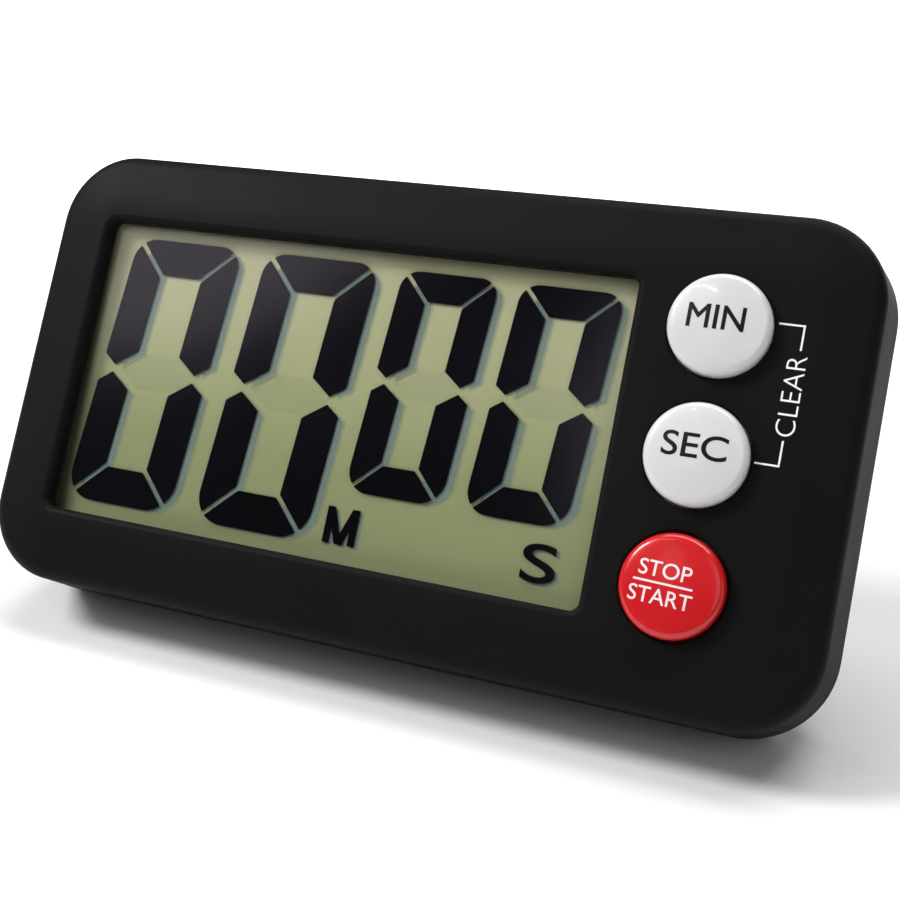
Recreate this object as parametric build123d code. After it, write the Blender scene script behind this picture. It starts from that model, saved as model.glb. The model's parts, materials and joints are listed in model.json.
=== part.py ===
from build123d import *
import os
from math import cos, radians, sin, tan

# A countdown timer with a large display. Two shells hold the display, the board, three push
# buttons and one AAA cell, and the housing leans back on a stand that folds into its rear.
# Every piece is drawn flat, in millimetres: x runs along the face, y up it and z out of it,
# and the middle of the face is the origin. At the end the pieces lean back and stand on z = 0.

# Housing
window_width = 78.8
window_height = 42.4
left_margin = 10.5  # housing edge to display window
upright_margin = 11.3  # the same, above and below
button_zone = 30.7  # the same, on the button side
corner_radius = 11.6
parting_depth = 12.0  # face to the line where the shells meet
wall = 2.2
face_thickness = 2.1
back_thickness = 2.0
front_draft = 6.3  # degrees
back_draft = 4.0
band_width = 7.0  # sloping band round the flat of the face
band_drop = 1.3
band_blend = 16.0  # radius between the flat and the band
band_floor = 1.5  # how much deeper the inside starts under the band
shoulder_radius = 2.2
back_edge_radius = 2.5
parting_chamfer = 0.2
tongue_height = 1.3
tongue_width = 1.0
tongue_gap = 0.1
window_corner = 1.3
window_lip = 0.9  # rounding of the window's outer edge
hole_lip = 0.35  # the same, on the button holes

# Stand and the way that the housing rests
lean = 31.26  # degrees from upright
rest_cut = 0.35  # how much of the rear lower edge is flattened where it rests
stand_angle = 45.0  # from folded to open, in degrees
stand_width = 46.0
stand_thickness = 2.2
stand_axis_y = 6.0
stand_axis_depth = 1.7  # below the back
stand_flush = 0.1
stand_gap = 0.3  # to the pocket, on each side
stand_rim = 3.0  # border round the hollow in the stand's inner face
stand_hollow = 0.8
stop_gap = 0.05
pocket_depth = 3.6
pocket_wall = 2.4
pocket_floor = 1.4
pocket_end_gap = 0.6
trunnion_radius = 1.0
trunnion_length = 1.8
running_gap = 0.05  # radial, on the trunnions and the plungers
socket_end_gap = 0.2
notch_width = 14.0  # finger notch in the stand's free end
notch_height = 5.0

# Display
seat_gap = 0.05  # between pieces that sit on one another
glass_lap = 1.6  # glass behind each edge of the window
contact_ledge = 2.4  # extra glass below, where the contacts are
polariser_thickness = 0.2
glass_thickness = 1.1
reflector_thickness = 0.3
frame_floor = 1.0
frame_wall = 0.7
frame_gap = 0.1
strip_width = 1.8
strip_inset = 5.0  # strip's end to glass's end

# Buttons and their switches
button_edge_gap = 19.7  # housing edge to the button centres
button_pitch = 16.0
button_diameter = 12.7
button_gap = 0.2  # radial
button_stand = 1.6  # rim above the face
button_dome = 0.6  # crown above the rim
button_rounding = 0.9
button_travel = 0.8
flange_reach = 1.2
flange_thickness = 0.8
flange_gap = 0.2
stem_radius = 1.9
stem_gap = 0.1
plunger_radius = 1.3
plunger_rise = 0.8
switch_size = 5.2
switch_height = 1.5
switch_floor = 0.2

# Circuit board
board_gap = 1.5  # behind the display frame
board_thickness = 1.4
board_edge = 4.0  # housing edge to board edge
board_shoulder = 15.0  # below the middle, where the board narrows for the screw posts
column_width = 15.0  # behind the buttons
column_top_gap = 10.0  # above the top button's centre
board_below_glass = 1.8
board_bay_gap = 2.5  # below the battery bay
parts_y = -6.0  # middle of the chip and the crystal
chip_radius = 6.0
chip_height = 1.4
chip_rounding = 1.2
crystal_x = 1.9
crystal_radius = 1.0
crystal_length = 6.0
coil_x = -36.0
coil_radius = 3.0
coil_height = 5.5
resistor_size = (2.0, 1.2, 0.6)
resistor_pitch = 3.2
resistor_count = 4
resistor_y = -13.0

# Screws
screw_radius = 1.0
thread_gap = 0.03
case_screw_inset = 5.6  # housing end to the screw centres
case_screw_y = 19.0
case_screw_length = 9.0
case_head_radius = 1.9
case_head_height = 1.3
head_gap = 0.2
post_radius = 2.3
back_post_radius = 2.6
head_seat = 3.0  # head below the back
board_post_radius = 1.9
board_post_inset = 5.8  # housing end to the posts beside the display
board_post_gap = 0.6  # display frame to the posts beside the buttons
board_post_heights = (4.0, -9.0)  # y of the two posts beside the display
board_screw_length = 3.6
board_head_radius = 1.7
board_head_height = 1.0
recess_width = 0.5
recess_depth = 0.6

# Battery and its bay
battery_diameter = 10.5
battery_length = 44.5
battery_nub_radius = 1.9
battery_nub_height = 0.8
bay_x = -10.0
bay_y = 17.0
bay_wall = 1.0
bay_gap = 0.15  # in front of and behind the cell
bay_side_gap = 0.25  # above and below the cell
spring_space = 5.5
contact_space = 0.9
contact_thickness = 0.4
contact_size = 8.0
tab_width = 3.0
tab_reach = 2.0
spring_radius = 3.0
spring_wire = 0.3
spring_turns = 4
door_thickness = 1.5
door_lap = 1.2
door_gap = 0.15
door_flush = 0.1
door_skirt = 0.8
door_skirt_gap = 0.1
door_skirt_depth = 1.0
door_grip_radius = 5.0
door_grip_depth = 0.6

# Sounder and magnets
sounder_edge_gap = 19.5  # housing edge to the sounder's centre
sounder_y = 13.0
sounder_radius = 10.0
sounder_thickness = 0.3
ceramic_radius = 7.0
ceramic_thickness = 0.2
sounder_ring_lap = 0.8
sounder_ring_height = 1.2
sound_hole_radius = 0.8
sound_hole_circle = 4.0
sound_hole_count = 6
magnet_x = 42.0
magnet_y = -14.0
magnet_radius = 6.0
magnet_thickness = 2.2
magnet_gap = 0.1
magnet_cover = 1.2

# Wires
wire_radius = 0.5
wire_bend = 1.4
wire_drop = 1.8  # battery wires, behind the board
sounder_wire_drop = 3.8

# Sizes that follow from the ones above
case_length = left_margin + window_width + button_zone
case_height = window_height + 2 * upright_margin
window_x = -case_length / 2 + left_margin + window_width / 2
button_x = case_length / 2 - button_edge_gap
sounder_x = case_length / 2 - sounder_edge_gap
button_radius = button_diameter / 2
flange_radius = button_radius + flange_reach
plunger_root = switch_height - switch_floor - button_travel - seat_gap

glass_left = window_x - window_width / 2 - glass_lap
glass_right = window_x + window_width / 2 + glass_lap
glass_top = window_height / 2 + glass_lap
glass_bottom = -glass_top - contact_ledge
polariser_front = -face_thickness - seat_gap
front_glass_front = polariser_front - polariser_thickness
rear_glass_front = front_glass_front - glass_thickness
reflector_front = rear_glass_front - glass_thickness
frame_pocket = reflector_front - reflector_thickness - seat_gap
frame_back = frame_pocket - frame_floor
board_front = frame_back - board_gap
board_back = board_front - board_thickness

bay_front = frame_back - 2 * frame_gap
bay_floor = bay_front - bay_wall
battery_z = bay_floor - bay_gap - battery_diameter / 2
door_inner = battery_z - battery_diameter / 2 - bay_gap
case_back = door_inner - door_thickness - door_flush
back_floor = case_back + back_thickness
bay_length = spring_space + battery_length + battery_nub_height + contact_space
bay_left = bay_x - bay_length / 2
bay_right = bay_x + bay_length / 2
bay_half_height = battery_diameter / 2 + bay_side_gap

stand_axis_z = case_back + stand_axis_depth
plate_outer = stand_flush - stand_axis_depth
plate_inner = plate_outer + stand_thickness
heel_reach = (
    pocket_depth - stand_axis_depth - stop_gap - plate_inner * cos(radians(stand_angle))
) / sin(radians(stand_angle))
pocket_half_width = stand_width / 2 + stand_gap

# Height of the ground under the leaning housing, along the upward direction
upward_y = cos(radians(lean))
upward_z = sin(radians(lean))
edge_centre_z = case_back + back_edge_radius
edge_centre_y = (
    -case_height / 2
    + (-parting_depth - edge_centre_z) * tan(radians(back_draft))
    + back_edge_radius / cos(radians(back_draft))
)
ground = edge_centre_y * upward_y + edge_centre_z * upward_z - back_edge_radius + rest_cut
axis_height = stand_axis_y * upward_y + stand_axis_z * upward_z - ground
splay = radians(stand_angle - lean)
stand_reach = (axis_height - plate_outer * sin(splay)) / cos(splay)
pocket_top = stand_axis_y + (heel_reach**2 + plate_outer**2) ** 0.5 + stand_gap
pocket_bottom = stand_axis_y - stand_reach - pocket_end_gap


def block(x0, x1, y0, y1, z0, z1):
    middle = Pos((x0 + x1) / 2, (y0 + y1) / 2, (z0 + z1) / 2)
    return middle * Box(abs(x1 - x0), abs(y1 - y0), abs(z1 - z0))


def disc(x, y, radius, z0, z1):
    return Pos(x, y, (z0 + z1) / 2) * Cylinder(radius, abs(z1 - z0))


# The housing's outline at a height, following the draft of its walls, moved in by an inset.
def section(z, inset=0.0):
    draft = front_draft if z > -parting_depth else back_draft
    shrink = inset + abs(z + parting_depth) * tan(radians(draft))
    outline = RectangleRounded(
        case_length - 2 * shrink, case_height - 2 * shrink, corner_radius - shrink
    )
    return Pos(0, 0, z) * outline


def case_screw_places():
    x = case_length / 2 - case_screw_inset
    return [(side * x, up * case_screw_y) for side in (-1, 1) for up in (-1, 1)]


def board_screw_places():
    left = -case_length / 2 + board_post_inset
    between = glass_right + frame_gap + frame_wall + board_post_gap + board_post_radius
    beside_display = [(left, y) for y in board_post_heights]
    beside_buttons = [(between, side * button_pitch / 2) for side in (-1, 1)]
    return beside_display + beside_buttons


def button_heights():
    return {"min": button_pitch, "sec": 0.0, "start_stop": -button_pitch}


def front_body():
    body = extrude(section(-parting_depth), parting_depth, taper=front_draft)
    face = body.faces().sort_by(Axis.Z)[-1]
    body = chamfer(face.edges(), length=band_width, length2=band_drop, reference=face)
    shoulder = body.edges().filter_by_position(Axis.Z, -2 * band_drop, -band_drop / 2)
    body = fillet(shoulder, shoulder_radius)
    body = fillet(body.faces().sort_by(Axis.Z)[-1].edges(), band_blend)
    return chamfer(body.faces().sort_by(Axis.Z)[0].edges(), parting_chamfer)


def near_window(edge):
    middle = edge.center()
    across = abs(middle.X - window_x) <= window_width / 2 + seat_gap
    return across and abs(middle.Y) <= window_height / 2 + seat_gap


def front_shell():
    inside = -face_thickness - band_floor
    shell = front_body()
    opening = Pos(window_x, 0) * RectangleRounded(window_width, window_height, window_corner)
    shell -= extrude(opening, 2 * inside)
    for y in button_heights().values():
        shell -= disc(button_x, y, button_radius + button_gap, 2 * inside, 0)
    rims = shell.edges().filter_by_position(Axis.Z, -seat_gap, seat_gap)
    shell = fillet(rims.filter_by(near_window), window_lip)
    rims = shell.edges().filter_by_position(Axis.Z, -seat_gap, seat_gap).filter_by(GeomType.CIRCLE)
    shell = fillet([rim for rim in rims if rim.length > 6 * button_radius], hole_lip)

    shell -= extrude(section(-parting_depth, wall), parting_depth + inside, taper=front_draft)
    recess_bottom = glass_bottom - frame_wall - 2 * frame_gap
    shell -= block(
        glass_left - frame_wall - 2 * frame_gap, button_x + flange_radius + flange_gap,
        recess_bottom, -recess_bottom, inside, -face_thickness,
    )
    shell -= extrude(section(-parting_depth, tongue_width), tongue_height + tongue_gap)
    for x, y in case_screw_places():
        hole_top = case_back + head_seat + case_screw_length + seat_gap
        shell += disc(x, y, post_radius, inside, -parting_depth)
        shell -= disc(x, y, screw_radius + thread_gap, hole_top, -parting_depth)
    for x, y in board_screw_places():
        hole_top = board_back + board_screw_length + seat_gap
        shell += disc(x, y, board_post_radius, -face_thickness, board_front)
        shell -= disc(x, y, screw_radius + thread_gap, hole_top, board_front)
    return shell


def back_body():
    depth = -parting_depth - case_back
    body = extrude(section(-parting_depth), -depth, taper=back_draft)
    body = fillet(body.faces().sort_by(Axis.Z)[0].edges(), back_edge_radius)
    body = chamfer(body.faces().sort_by(Axis.Z)[-1].edges(), parting_chamfer)
    inside = -parting_depth - back_floor
    body -= extrude(section(-parting_depth, wall), -inside, taper=back_draft)
    inset = tongue_width + tongue_gap
    tongue = section(-parting_depth, inset) - section(-parting_depth, wall)
    return body + extrude(tongue, tongue_height)


def door_outline(gap):
    half_length = bay_length / 2 + door_lap - gap
    half_height = bay_half_height + door_lap - gap
    return half_length, half_height


# The battery bay, open to the back, with a rebate for the door and a slot in each end wall.
def bay_feature():
    outer = bay_half_height + bay_wall
    walls = block(
        bay_left - bay_wall, bay_right + bay_wall, bay_y - outer, bay_y + outer, back_floor, bay_front
    )
    hollow = block(
        bay_left, bay_right, bay_y - bay_half_height, bay_y + bay_half_height, case_back, bay_floor
    )
    half_length, half_height = door_outline(0)
    hollow += block(
        bay_x - half_length, bay_x + half_length, bay_y - half_height, bay_y + half_height,
        case_back, door_inner,
    )
    half_slot = tab_width / 2 + seat_gap
    hollow += block(
        bay_left - 2 * bay_wall, bay_right + 2 * bay_wall, bay_y - half_slot, bay_y + half_slot,
        battery_z - seat_gap, battery_z + contact_thickness + seat_gap,
    )
    return walls, hollow


# The pocket that the stand folds into, with a blind socket in each side for its trunnions.
def pocket_feature():
    floor = case_back + pocket_depth
    walls = block(
        -pocket_half_width - pocket_wall, pocket_half_width + pocket_wall,
        pocket_bottom - back_thickness / 2, pocket_top + pocket_wall / 2,
        back_floor, floor + pocket_floor,
    )
    hollow = block(
        -pocket_half_width, pocket_half_width, pocket_bottom, pocket_top, case_back, floor
    )
    length = stand_width + 2 * (trunnion_length + socket_end_gap)
    axle = Pos(0, stand_axis_y, stand_axis_z) * Rot(0, 90, 0)
    return walls, hollow + axle * Cylinder(trunnion_radius + running_gap, length)


# The ring that carries the sounder, with holes through the back for its sound.
def sounder_feature():
    outer = sounder_radius + sounder_ring_lap
    inner = sounder_radius - sounder_ring_lap
    top = back_floor + sounder_ring_height
    ring = disc(sounder_x, sounder_y, outer, back_floor, top)
    hollow = disc(sounder_x, sounder_y, inner, back_floor, top)
    middle = Pos(sounder_x, sounder_y)
    for place in [Pos(0, 0), *PolarLocations(sound_hole_circle, sound_hole_count)]:
        hollow += middle * place * disc(0, 0, sound_hole_radius, case_back, back_floor)
    return ring, hollow


def magnet_feature():
    depth = case_back + magnet_thickness + magnet_gap
    bosses = Part()
    pockets = Part()
    for side in (-1, 1):
        cover = magnet_radius + magnet_cover
        bosses += disc(side * magnet_x, magnet_y, cover, back_floor, depth + magnet_cover)
        pockets += disc(side * magnet_x, magnet_y, magnet_radius + magnet_gap, case_back, depth)
    return bosses, pockets


def post_feature():
    posts = Part()
    holes = Part()
    seat = case_back + head_seat
    for x, y in case_screw_places():
        posts += disc(x, y, back_post_radius, back_floor, -parting_depth - seat_gap)
        holes += disc(x, y, case_head_radius + head_gap, case_back, seat)
        holes += disc(x, y, screw_radius + head_gap, seat, -parting_depth)
    return posts, holes


def back_shell():
    shell = back_body()
    features = [bay_feature, pocket_feature, sounder_feature, magnet_feature, post_feature]
    solids = [feature() for feature in features]
    for added, _ in solids:
        shell += added
    for _, removed in solids:
        shell -= removed
    return shell


# A cross-headed screw with its head's outer face towards -z and its shank towards +z.
def screw(x, y, seat, length, head_radius, head_height):
    head = disc(x, y, head_radius, seat - head_height, seat)
    head = fillet(head.faces().sort_by(Axis.Z)[0].edges(), head_height / 3)
    outer = seat - head_height
    for width, height in ((recess_width, head_radius), (head_radius, recess_width)):
        head -= block(x - width, x + width, y - height / 2, y + height / 2, outer, outer + recess_depth)
    return head + disc(x, y, screw_radius, seat, seat + length)


def case_screws():
    seat = case_back + head_seat
    return [
        screw(x, y, seat, case_screw_length, case_head_radius, case_head_height)
        for x, y in case_screw_places()
    ]


def board_screws():
    return [
        screw(x, y, board_back, board_screw_length, board_head_radius, board_head_height)
        for x, y in board_screw_places()
    ]


# The stand is drawn folded, with its axis at the origin, and then turned open. The ground
# trims its free end. Its heel, above the axis, meets the pocket's floor when it is open.
def kickstand():
    half = stand_width / 2
    end = -stand_reach - stand_thickness
    plate = block(-half, half, end, heel_reach, plate_outer, plate_inner)
    hollow_end = -stand_reach + notch_height + stand_rim
    plate -= block(
        -half + stand_rim, half - stand_rim, hollow_end, -stand_rim,
        plate_inner - stand_hollow, plate_inner,
    )
    notch_middle = -stand_reach + notch_height - notch_width / 2
    plate -= disc(0, notch_middle, notch_width / 2, plate_outer, plate_inner)
    plate -= block(
        -notch_width / 2, notch_width / 2, end, notch_middle, plate_outer, plate_inner
    )
    lengthwise = Rot(0, 90, 0)
    barrel = lengthwise * Cylinder(-plate_outer, stand_width)
    trunnions = lengthwise * Cylinder(trunnion_radius, stand_width + 2 * trunnion_length)
    place = Pos(0, stand_axis_y, stand_axis_z) * Rot(stand_angle, 0, 0)
    return place * (plate + barrel + trunnions)


def battery_door():
    half_length, half_height = door_outline(door_gap)
    outer = case_back + door_flush
    door = block(
        bay_x - half_length, bay_x + half_length, bay_y - half_height, bay_y + half_height,
        outer, door_inner,
    )
    for side in (-1, 1):
        edge = bay_x + side * (bay_length / 2 - door_skirt_gap)
        door += block(
            edge - side * door_skirt, edge, bay_y - battery_diameter / 2, bay_y + battery_diameter / 2,
            door_inner, door_inner + door_skirt_depth,
        )
    grip_x = bay_right - 2 * door_grip_radius
    return door - disc(grip_x, bay_y, door_grip_radius, outer, outer + door_grip_depth)


def glass(bottom, front, thickness):
    return block(glass_left, glass_right, bottom, glass_top, front - thickness, front)


def display_pieces():
    rear_bottom = glass_bottom + contact_ledge
    frame = block(
        glass_left - frame_gap - frame_wall, glass_right + frame_gap + frame_wall,
        glass_bottom - frame_gap - frame_wall, glass_top + frame_gap + frame_wall,
        frame_back, polariser_front,
    )
    frame -= block(
        glass_left - frame_gap, glass_right + frame_gap, glass_bottom - frame_gap,
        glass_top + frame_gap, frame_pocket, polariser_front,
    )
    strip_bottom = glass_bottom + frame_gap
    strip = (glass_left + strip_inset, glass_right - strip_inset)
    frame -= block(
        strip[0] - frame_gap, strip[1] + frame_gap, strip_bottom - frame_gap,
        strip_bottom + strip_width + frame_gap, frame_back, frame_pocket,
    )
    return {
        "front_polariser": glass(rear_bottom, polariser_front, polariser_thickness),
        "lcd_front_glass": glass(glass_bottom, front_glass_front, glass_thickness),
        "lcd_rear_glass": glass(rear_bottom, rear_glass_front, glass_thickness),
        "reflector": glass(rear_bottom, reflector_front, reflector_thickness),
        "display_frame": frame,
        "contact_strip": block(
            strip[0], strip[1], strip_bottom, strip_bottom + strip_width, board_front, rear_glass_front
        ),
    }


def button(y):
    under = -face_thickness - flange_gap
    bottom = under - flange_thickness
    crown = button_stand + button_dome
    ball = (button_radius**2 + button_dome**2) / (2 * button_dome)
    cap = disc(button_x, y, button_radius, bottom, crown)
    cap &= Pos(button_x, y, crown - ball) * Sphere(ball)
    rim = cap.edges().filter_by(GeomType.CIRCLE).filter_by_position(Axis.Z, 0, crown)
    cap = fillet(rim, button_rounding)
    cap += disc(button_x, y, flange_radius, bottom, under)
    stem_end = board_front + switch_height + plunger_rise + stem_gap
    return cap + disc(button_x, y, stem_radius, stem_end, bottom)


def plunger(y):
    top = board_front + switch_height + plunger_rise
    return disc(button_x, y, plunger_radius, board_front + switch_height - plunger_root, top)


def switch(y):
    half = switch_size / 2
    top = board_front + switch_height
    body = block(button_x - half, button_x + half, y - half, y + half, board_front, top)
    well = plunger_radius + running_gap
    return body - disc(button_x, y, well, board_front + switch_floor, top)


def circuit_board():
    left = -case_length / 2 + board_edge
    right = button_x + column_width / 2
    top = bay_y - bay_half_height - bay_wall - board_bay_gap
    bottom = glass_bottom - board_below_glass
    board = block(left, right, -board_shoulder, top, board_back, board_front)
    board += block(
        glass_left + strip_inset / 2, right, bottom, -board_shoulder, board_back, board_front
    )
    board += block(
        right - column_width, right, top, button_pitch + column_top_gap, board_back, board_front
    )
    for x, y in board_screw_places():
        board -= disc(x, y, screw_radius + head_gap, board_back, board_front)
    return board


def board_parts():
    chip = disc(window_x, parts_y, chip_radius, board_back - chip_height, board_back)
    chip = fillet(chip.faces().sort_by(Axis.Z)[0].edges(), chip_rounding)
    crystal = Pos(crystal_x, parts_y, board_back - crystal_radius) * Rot(90, 0, 0)
    length, width, height = resistor_size
    row = GridLocations(resistor_pitch, 0, resistor_count, 1)
    middle = Pos(window_x, resistor_y, board_back - height / 2)
    return {
        "controller_chip": chip,
        "crystal": crystal * Cylinder(crystal_radius, crystal_length),
        "resistors": [middle * place * Box(length, width, height) for place in row],
        "sounder_coil": disc(coil_x, 0, coil_radius, board_back - coil_height, board_back),
    }


def battery():
    start = bay_left + spring_space
    can = Pos(start + battery_length / 2, bay_y, battery_z) * Rot(0, 90, 0)
    nub_x = start + battery_length + battery_nub_height / 2
    nub = Pos(nub_x, bay_y, battery_z) * Rot(0, 90, 0)
    body = can * Cylinder(battery_diameter / 2, battery_length)
    body = fillet(body.edges(), bay_wall / 2)
    return body + nub * Cylinder(battery_nub_radius, battery_nub_height)


# A contact plate on the bay's end wall, with a tab through the wall's slot for its wire.
def contact(wall_x, inward):
    half = contact_size / 2
    plate = block(
        wall_x, wall_x + inward * contact_thickness, bay_y - half, bay_y + half,
        battery_z - half, battery_z + half,
    )
    tab = block(
        wall_x - inward * (bay_wall + tab_reach), wall_x, bay_y - tab_width / 2,
        bay_y + tab_width / 2, battery_z, battery_z + contact_thickness,
    )
    return plate + tab


def battery_spring():
    plate = contact(bay_left, 1)
    length = spring_space - contact_thickness - 2 * spring_wire - seat_gap
    path = Helix(length / spring_turns, length, spring_radius)
    start = path @ 0
    wire = Plane(origin=start, z_dir=path % 0) * Circle(spring_wire)
    coil = sweep(wire, path=path, is_frenet=True)
    foot = bay_left + contact_thickness + spring_wire
    return [plate, Pos(foot, bay_y, battery_z) * Rot(0, 90, 0) * coil]


def wire(*points):
    path = FilletPolyline(*points, radius=wire_bend)
    return sweep(Plane(origin=path @ 0, z_dir=path % 0) * Circle(wire_radius), path=path)


def battery_wires():
    tab = bay_wall + tab_reach / 2
    tab_front = battery_z + contact_thickness
    level = board_back - wire_drop
    right = (bay_right + tab, bay_y)
    left = (bay_left - tab, bay_y)
    board_top = button_pitch + column_top_gap
    right_end = (button_x - column_width / 2 + 2 * wire_bend, board_top - wire_bend)
    left_end = (bay_left - tab - 2 * wire_bend, bay_y - 2 * bay_half_height)
    return {
        "battery_wire_positive": wire(
            (*right, tab_front), (*right, level), (*right_end, level), (*right_end, board_back)
        ),
        "battery_wire_negative": wire(
            (*left, tab_front), (*left, level), (*left_end, level), (*left_end, board_back)
        ),
    }


def sounder_pieces():
    seat = back_floor + sounder_ring_height
    ceramic = seat + sounder_thickness
    ceramic_top = ceramic + ceramic_thickness
    level = board_back - sounder_wire_drop
    rim = (sounder_radius + ceramic_radius) / 2
    rim_end = (sounder_x + rim * sin(radians(40)), sounder_y + rim * cos(radians(40)))
    rim_start = (rim_end[0], rim_end[1] + 3 * wire_bend)
    middle_end = (sounder_x - wire_bend, sounder_y + 2 * wire_bend)
    middle_start = (middle_end[0] - wire_bend, rim_start[1] - wire_bend)
    return {
        "sounder_disc": disc(sounder_x, sounder_y, sounder_radius, seat, ceramic),
        "sounder_ceramic": disc(sounder_x, sounder_y, ceramic_radius, ceramic, ceramic_top),
        "sounder_wire_middle": wire(
            (*middle_start, board_back), (*middle_start, level),
            (*middle_end, level), (*middle_end, ceramic_top),
        ),
        "sounder_wire_rim": wire(
            (*rim_start, board_back), (*rim_start, level), (*rim_end, level), (*rim_end, ceramic)
        ),
    }


def magnets():
    outer = case_back + magnet_gap
    return {
        name: disc(side * magnet_x, magnet_y, magnet_radius, outer, outer + magnet_thickness)
        for name, side in (("left_magnet", -1), ("right_magnet", 1))
    }


def flat_pieces():
    pieces = {
        "front_shell": front_shell(),
        "back_shell": back_shell(),
        "battery_door": battery_door(),
        "kickstand": kickstand(),
        "case_screws": case_screws(),
        "board_screws": board_screws(),
        "circuit_board": circuit_board(),
        "battery": battery(),
        "battery_spring": battery_spring(),
        "battery_contact": contact(bay_right, -1),
        **display_pieces(),
        **board_parts(),
        **battery_wires(),
        **sounder_pieces(),
        **magnets(),
    }
    for name, y in button_heights().items():
        pieces[f"{name}_button"] = button(y)
        pieces[f"{name}_plunger"] = plunger(y)
        pieces[f"{name}_switch"] = switch(y)
    return {
        name: Compound(piece) if isinstance(piece, list) else piece for name, piece in pieces.items()
    }


# Leaning turns the face back about x. Then the ground under the rear lower edge becomes z = 0,
# and the middle of the whole depth becomes y = 0.
leaning = Rot(90 - lean, 0, 0)
leaned = {name: leaning * piece for name, piece in flat_pieces().items()}
whole = Compound(list(leaned.values())).bounding_box()
standing = Pos(0, -(whole.min.Y + whole.max.Y) / 2, -ground)
below_ground = Pos(0, 0, -case_height) * Box(2 * case_length, 4 * case_height, 2 * case_height)

os.makedirs("parts", exist_ok=True)
for name, piece in leaned.items():
    piece = standing * piece
    if name in ("back_shell", "kickstand"):
        piece -= below_ground
    export_step(piece, f"parts/{name}.step")
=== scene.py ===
import bmesh
import bpy
import json
from math import cos, radians, sin, sqrt
from mathutils import Matrix, Vector


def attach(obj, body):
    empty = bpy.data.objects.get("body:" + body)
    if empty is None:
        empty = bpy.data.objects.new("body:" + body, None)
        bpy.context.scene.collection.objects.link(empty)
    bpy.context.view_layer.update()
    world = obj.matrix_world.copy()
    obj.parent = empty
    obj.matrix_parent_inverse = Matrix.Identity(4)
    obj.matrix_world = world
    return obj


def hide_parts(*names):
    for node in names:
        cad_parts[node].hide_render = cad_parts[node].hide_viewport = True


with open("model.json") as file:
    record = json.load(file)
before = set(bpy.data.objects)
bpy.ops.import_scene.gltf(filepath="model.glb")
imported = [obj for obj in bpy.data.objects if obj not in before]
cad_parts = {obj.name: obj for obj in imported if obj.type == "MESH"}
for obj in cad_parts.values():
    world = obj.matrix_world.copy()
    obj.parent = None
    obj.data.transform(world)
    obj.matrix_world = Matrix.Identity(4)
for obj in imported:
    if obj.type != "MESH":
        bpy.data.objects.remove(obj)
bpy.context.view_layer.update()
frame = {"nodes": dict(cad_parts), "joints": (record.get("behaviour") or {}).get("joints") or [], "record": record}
nodes = frame["nodes"]
scene = bpy.context.scene
print("loaded", len(nodes), "CAD nodes")


# The face of the timer is the drawing board: x to the right, y up the face and z out of it,
# in millimetres from the middle of the face.
def findFacePlane():
    press = next(j for j in frame["joints"] if j["name"] == "min_press")
    outward = -Vector(press["axis"]).normalized()
    right = Vector((1, 0, 0))
    up = outward.cross(right)
    points = [v.co for v in nodes["front_shell"].data.vertices]
    heights = [p.dot(up) for p in points]
    middle = up * (max(heights) + min(heights)) / 2
    middle += outward * max(p.dot(outward) for p in points)
    turned = Matrix((right, up, outward)).transposed().to_4x4()
    return Matrix.Translation(middle) @ turned @ Matrix.Scale(0.001, 4)


facePlane = findFacePlane()
toFace = facePlane.inverted()


def faceBox(node):  # a CAD node's lowest and highest corners on the drawing board
    points = [toFace @ v.co for v in nodes[node].data.vertices]
    low = Vector([min(p[i] for p in points) for i in range(3)])
    high = Vector([max(p[i] for p in points) for i in range(3)])
    return low, high


glassLow, glassHigh = faceBox("lcd_front_glass")
windowX = (glassLow.x + glassHigh.x) / 2


def newMaterial(name):
    material = bpy.data.materials.new(name)
    material.use_nodes = True
    tree = material.node_tree
    return material, tree, tree.nodes["Principled BSDF"]


def addNode(tree, kind, inputs=None, **settings):
    node = tree.nodes.new(kind)
    for key, value in settings.items():
        setattr(node, key, value)
    for key, value in (inputs or {}).items():
        if hasattr(value, "is_output"):
            tree.links.new(value, node.inputs[key])
        else:
            node.inputs[key].default_value = value
    return node


def objectCoords(tree):
    return addNode(tree, "ShaderNodeTexCoord").outputs["Object"]


def faceCoords(tree):  # millimetres on the drawing board
    place, turn, size = facePlane.decompose()
    mapping = addNode(
        tree, "ShaderNodeMapping",
        {"Vector": objectCoords(tree), "Location": place, "Rotation": turn.to_euler(), "Scale": size},
        vector_type="TEXTURE",
    )
    return mapping.outputs["Vector"]


def faceAxis(tree, axis):
    split = addNode(tree, "ShaderNodeSeparateXYZ", {"Vector": faceCoords(tree)})
    return split.outputs[axis]


def mapRange(tree, value, fromRange, toRange, kind="LINEAR"):
    inputs = {"Value": value, "From Min": fromRange[0], "From Max": fromRange[1]}
    inputs.update({"To Min": toRange[0], "To Max": toRange[1]})
    return addNode(tree, "ShaderNodeMapRange", inputs, interpolation_type=kind).outputs["Result"]


def calculate(tree, operation, first, second):
    return addNode(tree, "ShaderNodeMath", {0: first, 1: second}, operation=operation).outputs[0]


def mixColour(tree, factor, first, second):
    node = addNode(tree, "ShaderNodeMix", data_type="RGBA")
    tree.links.new(factor, node.inputs["Factor"])
    for key, colour in (("A", first), ("B", second)):
        if hasattr(colour, "is_output"):
            tree.links.new(colour, node.inputs[key])
        else:
            node.inputs[key].default_value = (*colour, 1)
    return node.outputs["Result"]


def colourRamp(tree, factor, stops):
    node = addNode(tree, "ShaderNodeValToRGB", {"Fac": factor})
    ramp = node.color_ramp
    for number, (position, colour) in enumerate(stops):
        stop = ramp.elements[number] if number < 2 else ramp.elements.new(position)
        stop.position = position
        stop.color = (*colour, 1)
    return node.outputs["Color"]


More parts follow.
